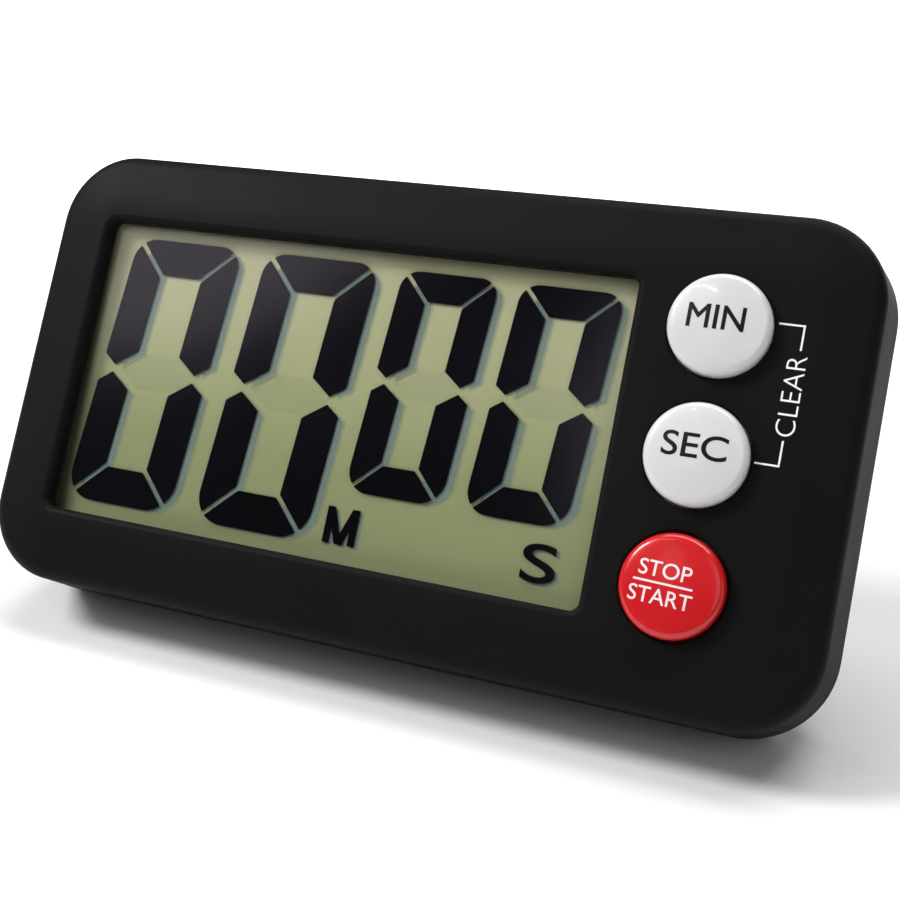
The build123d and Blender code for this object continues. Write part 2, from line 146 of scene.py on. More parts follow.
def addNoise(tree, place, scale, detail, roughness=0.5):
    inputs = {"Vector": place, "Scale": scale, "Detail": detail, "Roughness": roughness}
    return addNode(tree, "ShaderNodeTexNoise", inputs).outputs["Fac"]


def paint(tree, shader, colour):
    tree.links.new(colour, shader.inputs["Base Color"])


def roughen(tree, shader, patches, roughness):  # a noise lies mostly between 0.3 and 0.7
    tree.links.new(mapRange(tree, patches, (0.3, 0.7), roughness), shader.inputs["Roughness"])


def newGroup(name, inputs, outputs):
    group = bpy.data.node_groups.new(name, "ShaderNodeTree")
    for label, value in inputs.items():
        socket = group.interface.new_socket(label, in_out="INPUT", socket_type="NodeSocketFloat")
        socket.default_value = value
    for label in outputs:
        group.interface.new_socket(label, in_out="OUTPUT", socket_type="NodeSocketFloat")
    given = group.nodes.new("NodeGroupInput")
    result = group.nodes.new("NodeGroupOutput")
    return group, given, result


# The fine grain of moulded plastic, the slow unevenness of its sheen, and a few rubbed specks.
def makeMouldGrain():
    sockets = {"Grain": 5200.0, "Patch": 90.0}
    group, given, result = newGroup("mouldGrain", sockets, ["Height", "Patches", "Rubs"])
    place = objectCoords(group)
    grain = addNoise(group, place, given.outputs["Grain"], 2.0, 0.55)
    patch = addNoise(group, place, given.outputs["Patch"], 3.0)
    rubScale = calculate(group, "MULTIPLY", given.outputs["Patch"], 9.0)
    rub = addNoise(group, place, rubScale, 4.0, 0.7)
    group.links.new(grain, result.inputs["Height"])
    group.links.new(patch, result.inputs["Patches"])
    group.links.new(mapRange(group, rub, (0.62, 0.78), (0, 1), "SMOOTHSTEP"), result.inputs["Rubs"])
    return group


# The drawn or rolled streaks of metal parts, along x.
def makeMetalStreaks():
    group, given, result = newGroup("metalStreaks", {"Fineness": 9000.0}, ["Height", "Streaks"])
    stretched = addNode(
        group, "ShaderNodeMapping", {"Vector": objectCoords(group), "Scale": (0.06, 1.0, 1.0)}
    )
    streaks = addNoise(group, stretched.outputs["Vector"], given.outputs["Fineness"], 3.0)
    group.links.new(streaks, result.inputs["Height"])
    group.links.new(addNoise(group, objectCoords(group), 400.0, 4.0), result.inputs["Streaks"])
    return group


mouldGrain = makeMouldGrain()
metalStreaks = makeMetalStreaks()


def placeGroup(tree, group, **values):
    node = addNode(tree, "ShaderNodeGroup", node_tree=group)
    for key, value in values.items():
        node.inputs[key].default_value = value
    return node.outputs


def addBump(tree, shader, height, strength, distance):
    inputs = {"Strength": strength, "Distance": distance, "Height": height}
    bump = addNode(tree, "ShaderNodeBump", inputs)
    tree.links.new(bump.outputs["Normal"], shader.inputs["Normal"])


def mouldedPlastic(name, look):
    material, tree, shader = newMaterial(name)
    grain = placeGroup(tree, mouldGrain, Grain=look["grain"], Patch=look["patch"])
    patches = mapRange(tree, grain["Patches"], (0.3, 0.7), (0, 1))
    paint(tree, shader, mixColour(tree, patches, look["dark"], look["light"]))
    rough = mapRange(tree, grain["Patches"], (0.3, 0.7), look["roughness"])
    rubbed = mapRange(tree, grain["Rubs"], (0, 1), (0, look.get("rubbed", 0)))
    tree.links.new(calculate(tree, "SUBTRACT", rough, rubbed), shader.inputs["Roughness"])
    shader.inputs["IOR"].default_value = look["ior"]
    shader.inputs["Specular IOR Level"].default_value = look.get("specular", 0.5)
    shader.inputs["Coat Weight"].default_value = look.get("coat", 0.0)
    shader.inputs["Coat Roughness"].default_value = 0.05
    shader.inputs["Subsurface Weight"].default_value = look.get("depth", 0.0)
    shader.inputs["Subsurface Scale"].default_value = 0.0006
    addBump(tree, shader, grain["Height"], look["bump"], look["height"])
    return material


def plainMetal(name, look):
    material, tree, shader = newMaterial(name)
    streaks = placeGroup(tree, metalStreaks, Fineness=look["fineness"])
    cloud = mapRange(tree, streaks["Streaks"], (0.3, 0.7), (0, 1))
    paint(tree, shader, mixColour(tree, cloud, look["dark"], look["light"]))
    tree.links.new(mapRange(tree, cloud, (0, 1), look["roughness"]), shader.inputs["Roughness"])
    shader.inputs["Metallic"].default_value = 1.0
    addBump(tree, shader, streaks["Height"], look["bump"], 0.00001)
    return material


plastics = {
    "case_black": {
        "dark": (0.0056, 0.0056, 0.0057), "light": (0.0067, 0.0067, 0.0068), "roughness": (0.52, 0.6),
        "ior": 1.42, "specular": 0.08, "grain": 5200.0, "patch": 55.0, "bump": 0.3, "height": 0.00002,
        "rubbed": 0.04,
    },
    # The rear shell is the same black painted a little lighter, which is painted light so that its shape shows
    # under the dim rear lamps; its coarser grain and stronger sheen belong to its surface.
    "case_black_rear": {
        "dark": (0.0072, 0.0072, 0.0073), "light": (0.0095, 0.0095, 0.0097), "roughness": (0.5, 0.6),
        "ior": 1.45, "specular": 0.25, "grain": 3200.0, "patch": 70.0, "bump": 0.55, "height": 0.00004,
        "rubbed": 0.06,
    },
    "button_white": {
        "dark": (0.66, 0.655, 0.652), "light": (0.7, 0.695, 0.69), "roughness": (0.2, 0.26),
        "ior": 1.48, "grain": 2400.0, "patch": 130.0, "bump": 0.04, "height": 0.00001, "rubbed": 0.03,
        "coat": 0.45, "depth": 0.08,
    },
    "button_red": {
        "dark": (0.56, 0.009, 0.012), "light": (0.62, 0.012, 0.016), "roughness": (0.2, 0.26),
        "ior": 1.48, "grain": 2400.0, "patch": 130.0, "bump": 0.04, "height": 0.00001, "rubbed": 0.03,
        "coat": 0.2, "depth": 0.05,
    },
    "frame_white": {
        "dark": (0.62, 0.62, 0.6), "light": (0.7, 0.7, 0.68), "roughness": (0.45, 0.55), "ior": 1.48,
        "grain": 3000.0, "patch": 120.0, "bump": 0.2, "height": 0.00002,
    },
    "epoxy": {
        "dark": (0.006, 0.006, 0.006), "light": (0.011, 0.011, 0.011), "roughness": (0.12, 0.26),
        "ior": 1.55, "grain": 900.0, "patch": 420.0, "bump": 0.25, "height": 0.00004, "coat": 0.4,
    },
    "switch_black": {
        "dark": (0.014, 0.014, 0.014), "light": (0.022, 0.022, 0.022), "roughness": (0.35, 0.45),
        "ior": 1.48, "grain": 3500.0, "patch": 260.0, "bump": 0.2, "height": 0.00002,
    },
    "component": {
        "dark": (0.018, 0.018, 0.02), "light": (0.035, 0.035, 0.038), "roughness": (0.25, 0.4),
        "ior": 1.5, "grain": 4200.0, "patch": 700.0, "bump": 0.3, "height": 0.00002,
    },
    "wire_red": {
        "dark": (0.38, 0.012, 0.01), "light": (0.48, 0.02, 0.016), "roughness": (0.32, 0.42),
        "ior": 1.45, "grain": 2600.0, "patch": 300.0, "bump": 0.15, "height": 0.00001,
    },
    "wire_black": {
        "dark": (0.01, 0.01, 0.01), "light": (0.018, 0.018, 0.018), "roughness": (0.34, 0.44),
        "ior": 1.45, "grain": 2600.0, "patch": 300.0, "bump": 0.15, "height": 0.00001,
    },
}
metals = {
    "steel": {"dark": (0.42, 0.42, 0.43), "light": (0.55, 0.55, 0.56), "roughness": (0.28, 0.4),
              "fineness": 9000.0, "bump": 0.25},
    "nickel": {"dark": (0.6, 0.58, 0.54), "light": (0.7, 0.68, 0.64), "roughness": (0.14, 0.26),
               "fineness": 7000.0, "bump": 0.12},
    "brass": {"dark": (0.62, 0.42, 0.16), "light": (0.74, 0.54, 0.24), "roughness": (0.25, 0.4),
              "fineness": 6000.0, "bump": 0.2},
}
finishes = {slot: mouldedPlastic(slot.replace("_", " ").title().replace(" ", ""), look)
            for slot, look in plastics.items()}
finishes.update({slot: plainMetal(slot + "Metal", look) for slot, look in metals.items()})


board = {
    "scale": 0.55, "trackGap": 0.09, "trackLength": 1.7, "trackWidth": 0.6,
    "dark": (0.008, 0.075, 0.022), "light": (0.012, 0.1, 0.03), "track": (0.03, 0.19, 0.06),
    "roughness": (0.18, 0.32), "bump": 0.4, "height": 0.00003,
}


def makeBoardMask():  # green lacquer over copper tracks, which show a little lighter and raised
    material, tree, shader = newMaterial("boardMask")
    inputs = {
        "Vector": faceCoords(tree), "Scale": board["scale"], "Mortar Size": board["trackGap"],
        "Brick Width": board["trackLength"], "Row Height": board["trackWidth"],
        "Color1": (1, 1, 1, 1), "Color2": (0.85, 0.85, 0.85, 1), "Mortar": (0, 0, 0, 1),
    }
    tracks = addNode(tree, "ShaderNodeTexBrick", inputs, offset=0.5).outputs["Fac"]
    grain = placeGroup(tree, mouldGrain, Grain=3000.0, Patch=160.0)
    ground = mixColour(tree, grain["Patches"], board["dark"], board["light"])
    paint(tree, shader, mixColour(tree, tracks, ground, board["track"]))
    roughen(tree, shader, grain["Patches"], board["roughness"])
    addBump(tree, shader, tracks, board["bump"], board["height"])
    return material


def makeBands(name, look):  # stripes on the drawing board: a wound coil, or layered rubber
    material, tree, shader = newMaterial(name)
    inputs = {"Vector": faceCoords(tree), "Scale": look["scale"], "Distortion": look["distortion"]}
    inputs["Detail"] = 1.0
    wave = addNode(tree, "ShaderNodeTexWave", inputs, bands_direction=look["direction"]).outputs["Fac"]
    paint(tree, shader, mixColour(tree, wave, look["dark"], look["light"]))
    tree.links.new(mapRange(tree, wave, (0, 1), look["roughness"]), shader.inputs["Roughness"])
    shader.inputs["Metallic"].default_value = look["metallic"]
    addBump(tree, shader, wave, 0.6, 0.00004)
    return material


cell = {
    "bandFrom": 0.72, "capShare": 0.035, "baseShare": 0.012, "bandGleam": 0.7, "roughness": (0.22, 0.34),
    "dark": (0.012, 0.013, 0.016), "light": (0.022, 0.023, 0.027),
    "band": (0.5, 0.24, 0.1), "bare": (0.68, 0.67, 0.64),
}


def makeCellJacket():  # printed sleeve with a copper band, and bare nickel at both ends
    material, tree, shader = newMaterial("cellJacket")
    low, high = faceBox("battery")
    length = high.x - low.x
    along = faceAxis(tree, "X")
    part = mapRange(tree, along, (low.x, high.x), (0, 1))
    band = calculate(tree, "GREATER_THAN", part, cell["bandFrom"])
    bareHigh = calculate(tree, "GREATER_THAN", along, high.x - length * cell["capShare"])
    bareLow = calculate(tree, "LESS_THAN", along, low.x + length * cell["baseShare"])
    bare = calculate(tree, "MAXIMUM", bareHigh, bareLow)
    grain = placeGroup(tree, mouldGrain, Grain=2500.0, Patch=200.0)
    dark = mixColour(tree, grain["Patches"], cell["dark"], cell["light"])
    sleeve = mixColour(tree, band, dark, cell["band"])
    paint(tree, shader, mixColour(tree, bare, sleeve, cell["bare"]))
    gleam = calculate(tree, "MULTIPLY", band, cell["bandGleam"])
    tree.links.new(calculate(tree, "MAXIMUM", bare, gleam), shader.inputs["Metallic"])
    roughen(tree, shader, grain["Patches"], cell["roughness"])
    addBump(tree, shader, grain["Height"], 0.1, 0.00001)
    return material


dullPlates = {
    "ceramic": {
        "name": "silveredCeramic", "dark": (0.66, 0.65, 0.62), "light": (0.78, 0.77, 0.74),
        "roughness": (0.38, 0.52), "metallic": 0.5, "grain": 4200.0, "patch": 240.0, "bump": 0.4,
        "height": 0.00002,
    },
    "reflector": {
        "name": "satinFoil", "dark": (0.4, 0.42, 0.28), "light": (0.48, 0.5, 0.34),
        "roughness": (0.35, 0.5), "metallic": 0.4, "grain": 2600.0, "patch": 120.0, "bump": 0.2,
        "height": 0.00001,
    },
}


def makeDullPlate(look):
    material, tree, shader = newMaterial(look["name"])
    grain = placeGroup(tree, mouldGrain, Grain=look["grain"], Patch=look["patch"])
    paint(tree, shader, mixColour(tree, grain["Patches"], look["dark"], look["light"]))
    roughen(tree, shader, grain["Patches"], look["roughness"])
    shader.inputs["Metallic"].default_value = look["metallic"]
    addBump(tree, shader, grain["Height"], look["bump"], look["height"])
    return material


finishes.update({slot: makeDullPlate(look) for slot, look in dullPlates.items()})
finishes["board_green"] = makeBoardMask()
finishes["cell_jacket"] = makeCellJacket()
finishes["copper_coil"] = makeBands("copperWinding", {
    "scale": 1.6, "distortion": 0.3, "direction": "Z", "dark": (0.3, 0.09, 0.03),
    "light": (0.75, 0.3, 0.13), "roughness": (0.45, 0.25), "metallic": 1.0,
})
finishes["rubber_strip"] = makeBands("contactRubber", {
    "scale": 1.2, "distortion": 0.0, "direction": "X", "dark": (0.012, 0.011, 0.012),
    "light": (0.5, 0.09, 0.3), "roughness": (0.6, 0.5), "metallic": 0.0,
})

filmLook = {
    "clear": (0.965, 0.965, 0.955), "smudged": (0.945, 0.945, 0.935), "gloss": (0.95, 0.88, 1.0),
    "roughness": (0.12, 0.16), "ior": 1.42,
}


# See-through film with a faint gloss: it mirrors the room on its outer side only.
def makeFilm(name, look):
    material, tree, shader = newMaterial(name)
    tree.nodes.remove(shader)
    grain = placeGroup(tree, mouldGrain, Grain=1500.0, Patch=60.0)
    tint = mixColour(tree, grain["Rubs"], look["clear"], look["smudged"])
    clear = addNode(tree, "ShaderNodeBsdfTransparent", {"Color": tint})
    rough = mapRange(tree, grain["Patches"], (0.3, 0.7), look["roughness"])
    gloss = addNode(tree, "ShaderNodeBsdfGlossy", {"Color": (*look["gloss"], 1), "Roughness": rough})
    fresnel = addNode(tree, "ShaderNodeFresnel", {"IOR": look["ior"]})
    geometry = addNode(tree, "ShaderNodeNewGeometry")
    outer = calculate(tree, "SUBTRACT", 1.0, geometry.outputs["Backfacing"])
    share = calculate(tree, "MULTIPLY", fresnel.outputs["Fac"], outer)
    mix = addNode(tree, "ShaderNodeMixShader", {0: share, 1: clear.outputs[0], 2: gloss.outputs[0]})
    tree.links.new(mix.outputs[0], tree.nodes["Material Output"].inputs["Surface"])
    return material


finishes["polariser"] = makeFilm("polariserFilm", filmLook)
finishes["glass"] = makeFilm("cellGlass", {
    **filmLook, "clear": (0.985, 0.99, 0.985), "smudged": (0.975, 0.98, 0.975), "gloss": (1, 1, 1),
    "ior": 1.02,
})
slotOf = {part["node"]: part["material_slot"] for part in frame["record"]["subparts"]}
for name, node in nodes.items():
    node.data.materials.clear()
    node.data.materials.append(finishes[slotOf[name]])
print("finishes on", len(slotOf), "nodes")


def finishPiece(name, bm, body, material, smooth=False):
    bmesh.ops.transform(bm, matrix=facePlane, verts=bm.verts)
    mesh = bpy.data.meshes.new(name)
    bm.to_mesh(mesh)
    bm.free()
    mesh.materials.append(material)
    if smooth:
        mesh.shade_smooth()
        mesh.set_sharp_from_angle(angle=radians(smooth))
    obj = bpy.data.objects.new(name, mesh)
    scene.collection.objects.link(obj)
    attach(obj, body)
    return obj


def trim(bm, point, normal):  # cuts away what lies beyond a line
    geometry = bm.verts[:] + bm.edges[:] + bm.faces[:]
    bmesh.ops.bisect_plane(
        bm, geom=geometry, plane_co=(*point, 0), plane_no=(*normal, 0), clear_outer=True, dist=1e-6
    )


def thicken(bm, thickness):
    bmesh.ops.recalc_face_normals(bm, faces=bm.faces)
    bmesh.ops.solidify(bm, geom=bm.faces[:], thickness=thickness)
    bmesh.ops.recalc_face_normals(bm, faces=bm.faces)


# bottom, low, middle and top are the field's painted light, paler upwards; shade and edge are the widths and
# colour of the painted shadow along its left and top edges.
display = {
    "margin": 0.9, "depth": -3.0, "thickness": 0.05, "roughness": (0.5, 0.6),
    "window": (78.8, 42.4), "shade": (1.6, 1.4), "edge": (0.045, 0.06, 0.035),
    "bottom": (0.28, 0.31, 0.162), "low": (0.31, 0.335, 0.17), "middle": (0.39, 0.41, 0.225),
    "top": (0.56, 0.545, 0.35), "speck": (0.2, 0.2, 0.12), "lean": 0.04, "halfHeight": 22.0,
}


# The field of the display, which pales from the bottom to the top: painted light, its top painted brighter as if
# lit more from above.
def makeDisplayField():
    material, tree, shader = newMaterial("displayField")
    # Painted light: the ramp runs from the shaded bottom colour to the lit top colour.
    height = mapRange(tree, faceAxis(tree, "Y"), (-21, 21), (0, 1))
    ends = [(0.0, display["bottom"]), (1.0, display["top"])]
    ground = colourRamp(tree, height, ends + [(0.3, display["low"]), (0.5, display["middle"])])
    grain = placeGroup(tree, mouldGrain, Grain=2600.0, Patch=60.0)
    fine = mapRange(tree, grain["Height"], (0.3, 0.7), (0.0, 0.06))
    colour = mixColour(tree, fine, ground, display["speck"])
    # Painted shadow: the window's lip shades the field's left edge, more widely towards the bottom, and its top
    # edge, in the edge colour.
    left = windowX - display["window"][0] / 2
    top = display["window"][1] / 2
    leaning = calculate(tree, "MULTIPLY_ADD", faceAxis(tree, "Y"), display["lean"])
    tree.links.new(faceAxis(tree, "X"), leaning.node.inputs[2])
    leftShade = (left - 0.3, left + display["shade"][0])
    topShade = (top - display["shade"][1], top + 0.2)
    fromLeft = mapRange(tree, leaning, leftShade, (1, 0), "SMOOTHSTEP")
    fromTop = mapRange(tree, faceAxis(tree, "Y"), topShade, (0, 0.6), "SMOOTHSTEP")
    shade = calculate(tree, "MAXIMUM", fromLeft, fromTop)
    paint(tree, shader, mixColour(tree, shade, colour, display["edge"]))
    roughen(tree, shader, grain["Patches"], display["roughness"])
    shader.inputs["Specular IOR Level"].default_value = 0.1
    bm = bmesh.new()
    width = (glassHigh.x - glassLow.x) / 2 - display["margin"]
    spread = Matrix.Diagonal((width, display["halfHeight"], 1, 1))
    place = Matrix.Translation((windowX, 0, display["depth"])) @ spread
    bmesh.ops.create_grid(bm, x_segments=8, y_segments=4, size=1, matrix=place)
    thicken(bm, -display["thickness"])
    finishPiece("displayField", bm, "case", material)


digits = {
    "slant": 0.0687, "tipSlope": 0.72, "depth": -2.78, "thickness": 0.04,
    # Where the painted shadow sheets lie, how far they are offset and how soft their edge is; the unlit segments
    # follow.
    "shadowDepth": -2.92, "shadowShift": (1.5, -0.5), "shadowFeather": 1.0,
    "unlitDepth": -2.87, "unlitShift": (0.25, 0), "unlitFeather": 0.35,
    "big": {"width": 17.42, "top": 19.55, "bottom": -19.18, "middle": 0.07, "upright": 5.3,
            "level": 5.1, "gap": 0.68, "tipGap": 1.06, "tipInset": 2.07,
            "topRound": 3.3, "bottomRound": 4.3, "places": (-28.4, -7.05)},
    "small": {"width": 13.85, "top": 19.3, "bottom": -11.46, "middle": 3.91, "upright": 4.24,
              "level": 4.06, "gap": 0.55, "tipGap": 0.85, "tipInset": 1.58,
              "topRound": 2.6, "bottomRound": 3.4, "places": (12.5, 29.47)},
}


def digitOutline(size):  # a flat rounded shape that the segments are cut from
    bm = bmesh.new()
    height = size["top"] - size["bottom"]
    middle = (size["top"] + size["bottom"]) / 2
    place = Matrix.Translation((0, middle, 0)) @ Matrix.Diagonal((size["width"] / 2, height / 2, 1, 1))
    bmesh.ops.create_grid(bm, x_segments=1, y_segments=1, size=1, matrix=place)
    for upper, radius in ((True, size["topRound"]), (False, size["bottomRound"])):
        corners = [v for v in bm.verts if (v.co.y > middle) == upper]
        corners = [v for v in corners if abs(abs(v.co.x) - size["width"] / 2) < 1e-4]
        bmesh.ops.bevel(
            bm, geom=corners, offset=radius, affect="VERTICES", segments=10, profile=0.5, material=-1
        )
    return bm


# Each segment's cutting lines, as a point and the side that falls away.
def segmentCuts(size):
    half = size["width"] / 2
    innerX = half - size["upright"]
    innerTop = size["top"] - size["level"]
    innerBottom = size["bottom"] + size["level"]
    shift = size["gap"] / 2 / sqrt(2)
    slope = digits["tipSlope"]
    cuts = {
        "top": [((0, innerTop), (0, -1)), ((-innerX + shift, innerTop + shift), (-1, -1)),
                ((innerX - shift, innerTop + shift), (1, -1))],
        "bottom": [((0, innerBottom), (0, 1)), ((-innerX + shift, innerBottom - shift), (-1, 1)),
                   ((innerX - shift, innerBottom - shift), (1, 1))],
    }
    for side, sign in (("Left", -1), ("Right", 1)):
        tipX = sign * (half - size["tipInset"])
        for row, up, inner in (("upper", 1, innerTop), ("lower", -1, innerBottom)):
            tipY = size["middle"] + up * size["tipGap"] / 2
            cuts[row + side] = [
                ((sign * innerX, 0), (-sign, 0)),
                ((sign * (innerX + shift), inner - up * shift), (-sign, up)),
                ((tipX, tipY), (slope, -up)), ((tipX, tipY), (-slope, -up)),
            ]
    return cuts


def middleCuts(size):  # the unlit bar across the middle
    half = size["upright"] / 2
    tipX = size["width"] / 2 - size["tipInset"] - size["tipGap"] / 2
    cuts = [((0, size["middle"] + half), (0, 1)), ((0, size["middle"] - half), (0, -1))]
    for sign in (-1, 1):
        for up in (-1, 1):
            cuts.append(((sign * tipX, size["middle"]), (sign * digits["tipSlope"], up)))
    return cuts


def joinSegments(size, allCuts):
    everything = bmesh.new()
    for cuts in allCuts:
        bm = digitOutline(size)
        for point, normal in cuts:
            trim(bm, point, normal)
        part = bpy.data.meshes.new("segment")
        bm.to_mesh(part)
        bm.free()
        everything.from_mesh(part)
        bpy.data.meshes.remove(part)
    bmesh.ops.dissolve_limit(
        everything, angle_limit=radians(0.5), verts=everything.verts, edges=everything.edges
    )
    return everything


def slantDigit(bm, size, place, depth, shift=(0, 0)):
    slant = Matrix.Identity(4)
    slant[0][1] = digits["slant"]
    slant[0][3] = windowX + place - digits["slant"] * size["middle"] + shift[0]
    slant[1][3] = shift[1]
    slant[2][3] = depth
    bmesh.ops.transform(bm, matrix=slant, verts=bm.verts)


# A soft edge: the outline is inset, and the fade attribute runs from 0 outside to 1 inside.
def feather(bm, width):
    bmesh.ops.remove_doubles(bm, verts=bm.verts, dist=0.002)
    fade = bm.verts.layers.float.new("fade")
    bmesh.ops.recalc_face_normals(bm, faces=bm.faces)
    bm.normal_update()
    inner = bm.faces[:]
    bmesh.ops.inset_region(bm, faces=inner, thickness=width, use_boundary=True, use_even_offset=True)
    for face in inner:
        for vert in face.verts:
            vert[fade] = 1.0


inksAndPaintedShadows = {
    "dark": (0.0012, 0.0012, 0.002), "light": (0.0022, 0.0018, 0.005),
    # cast is the colour of the painted shadow that the digits and marks throw on the field.
    "cast": {"alpha": 0.85, "dark": (0.16, 0.23, 0.225), "light": (0.18, 0.25, 0.245)},
    "unlit": {"alpha": 0.11, "dark": (0.26, 0.32, 0.24), "light": (0.3, 0.35, 0.26)},
}


# A sheet with a soft edge: used for the painted shadows and for the faint unlit segments.
def makeFadedSheet(name, look):
    material, tree, shader = newMaterial(name)
    fade = addNode(tree, "ShaderNodeAttribute", attribute_name="fade").outputs["Fac"]
    soft = mapRange(tree, fade, (0, 1), (0, look["alpha"]), "SMOOTHSTEP")
    grain = placeGroup(tree, mouldGrain, Grain=2600.0, Patch=160.0)
    paint(tree, shader, mixColour(tree, grain["Patches"], look["dark"], look["light"]))
    tree.links.new(soft, shader.inputs["Alpha"])
    shader.inputs["Roughness"].default_value = 0.8
    shader.inputs["Specular IOR Level"].default_value = 0.0
    return material


def makeDigitInk():  # switched-on liquid crystal, near black with a trace of violet
    material, tree, shader = newMaterial("digitInk")
    grain = placeGroup(tree, mouldGrain, Grain=2600.0, Patch=60.0)
    patches = mapRange(tree, grain["Patches"], (0.3, 0.7), (0, 1))
    paint(tree, shader, mixColour(tree, patches, inksAndPaintedShadows["dark"], inksAndPaintedShadows["light"]))
    roughen(tree, shader, grain["Patches"], (0.5, 0.6))
    shader.inputs["Specular IOR Level"].default_value = 0.0
    return material


digitInk = makeDigitInk()
# The cast material is a painted shadow: it stands for the shade the digits and marks throw on the field.
paintedCastShadow = makeFadedSheet("castShadow", inksAndPaintedShadows["cast"])
ghostInk = makeFadedSheet("unlitSegment", inksAndPaintedShadows["unlit"])


# The painted shadow sheets and the faint unlit segments cast no shadow of their own.
def finishShade(name, bm, material):  # a soft shade lets the light through to the field behind it
    piece = finishPiece(name, bm, "case", material)
    piece.visible_shadow = False


def makeDigit(name, size, place):
    lit = joinSegments(size, segmentCuts(size).values())
    slantDigit(lit, size, place, digits["depth"])
    thicken(lit, digits["thickness"])
    finishPiece(name, lit, "case", digitInk)
    # Painted shadow: a copy of the digit without gaps, offset right and down onto the field and softened, stands
    # for the digit's shadow.
    closed = {**size, "gap": 0.0}
    cast = joinSegments(size, segmentCuts(closed).values())
    slantDigit(cast, size, place, digits["shadowDepth"], digits["shadowShift"])
    feather(cast, digits["shadowFeather"])
    finishShade(name + "Cast", cast, paintedCastShadow)
    ghost = joinSegments(size, [middleCuts(size)])
    slantDigit(ghost, size, place, digits["unlitDepth"], digits["unlitShift"])
    feather(ghost, digits["unlitFeather"])
    finishShade(name + "Unlit", ghost, ghostInk)


makeDisplayField()
for label in ("big", "small"):
    for number, place in enumerate(digits[label]["places"]):
        makeDigit(f"{label}Digit{number + 1}", digits[label], place)
print("display made")


# A word as flat faces, stretched to the width and height it is printed at.
def flatWord(word, width, height, weight=0.0):
    curve = bpy.data.curves.new("word", "FONT")
    curve.body = word
    curve.resolution_u = 8
    obj = bpy.data.objects.new("word", curve)
    scene.collection.objects.link(obj)
    bpy.context.view_layer.update()
    mesh = bpy.data.meshes.new_from_object(obj)
    bpy.data.objects.remove(obj)
    bm = bmesh.new()
    bm.from_mesh(mesh)
    bpy.data.meshes.remove(mesh)
    bmesh.ops.remove_doubles(bm, verts=bm.verts, dist=1e-5)
    low = [min(v.co[i] for v in bm.verts) for i in range(2)]
    high = [max(v.co[i] for v in bm.verts) for i in range(2)]
    centre = Matrix.Translation((-(low[0] + high[0]) / 2, -(low[1] + high[1]) / 2, 0))
    scaleX = (width - 2 * weight) / (high[0] - low[0])
    scaleY = (height - 2 * weight) / (high[1] - low[1])
    size = Matrix.Diagonal((scaleX, scaleY, 1, 1))
    bmesh.ops.transform(bm, matrix=size @ centre, verts=bm.verts)
    if weight:  # bolder strokes: the outline moves out by the weight
        border = bmesh.ops.inset_region(
            bm, faces=bm.faces[:], thickness=-weight, use_boundary=True, use_even_offset=True
        )
        bmesh.ops.delete(bm, geom=border["faces"], context="FACES")
    return bm


def flatBar(width, height, place):
    bm = bmesh.new()
    matrix = Matrix.Translation((*place, 0)) @ Matrix.Diagonal((width / 2, height / 2, 1, 1))
    bmesh.ops.create_grid(bm, x_segments=1, y_segments=1, size=1, matrix=matrix)
    return bm


def joinFlat(pieces):
    everything = bmesh.new()
    for bm in pieces:
        part = bpy.data.meshes.new("part")
        bm.to_mesh(part)
        bm.free()
        everything.from_mesh(part)
        bpy.data.meshes.remove(part)
    return everything


def moveFlat(bm, x, y, z=0.0, turn=0.0):
    matrix = Matrix.Translation((x, y, z)) @ Matrix.Rotation(radians(turn), 4, "Z")
    bmesh.ops.transform(bm, matrix=matrix, verts=bm.verts)
    return bm


def boldM(width, height, stem):  # two stems and a V between them
    pieces = [flatBar(stem, height, (sign * (width - stem) / 2, 0)) for sign in (-1, 1)]
    reach = (width - stem) / 2
    for sign in (-1, 1):
        bm = flatBar(stem * 1.1, height, (0, 0))
        lean = Matrix.Identity(4)
        lean[0][1] = sign * (reach - stem * 0.05) / height
        lean[0][3] = sign * reach / 2
        bmesh.ops.transform(bm, matrix=lean, verts=bm.verts)
        pieces.append(bm)
    return joinFlat(pieces)


def displayWord(look):
    if look["word"] == "M":
        return boldM(look["width"], look["height"], look["stem"])
    return flatWord(look["word"], look["width"], look["height"], look["weight"])


displayWords = {
    "minutes": {"word": "M", "width": 4.7, "height": 4.9, "stem": 1.0, "place": (5.25, -16.25)},
    "seconds": {"word": "S", "width": 4.6, "height": 5.0, "weight": 0.08, "place": (32.9, -16.2)},
}
# The painted shadows that the M and S marks throw on the field: offset, softened copies in the cast colour.
markShade = {"shift": (0.6, -0.35), "feather": 0.25}
for name, look in displayWords.items():
    x, y = look["place"]
    mark = displayWord(look)
    moveFlat(mark, windowX + x, y, digits["depth"])
    thicken(mark, digits["thickness"])
    finishPiece(name + "Mark", mark, "case", digitInk)
    cast = displayWord(look)
    shiftX, shiftY = markShade["shift"]
    moveFlat(cast, windowX + x + shiftX, y + shiftY, digits["shadowDepth"])
    feather(cast, markShade["feather"])
    finishShade(name + "MarkCast", cast, paintedCastShadow)


def makePrintInk(name, dark, light):
    material, tree, shader = newMaterial(name)
    grain = placeGroup(tree, mouldGrain, Grain=6000.0, Patch=900.0)
    patches = mapRange(tree, grain["Patches"], (0.35, 0.65), (0, 1))
    paint(tree, shader, mixColour(tree, patches, dark, light))
    roughen(tree, shader, grain["Patches"], (0.4, 0.5))
    shader.inputs["Specular IOR Level"].default_value = 0.2
    addBump(tree, shader, grain["Height"], 0.2, 0.00001)
    return material


printWhite = makePrintInk("printWhite", (0.86, 0.86, 0.87), (0.93, 0.93, 0.94))
printDark = makePrintInk("printDark", (0.006, 0.0025, 0.007), (0.01, 0.004, 0.011))
printPale = makePrintInk("printPale", (0.86, 0.72, 0.75), (0.93, 0.8, 0.83))

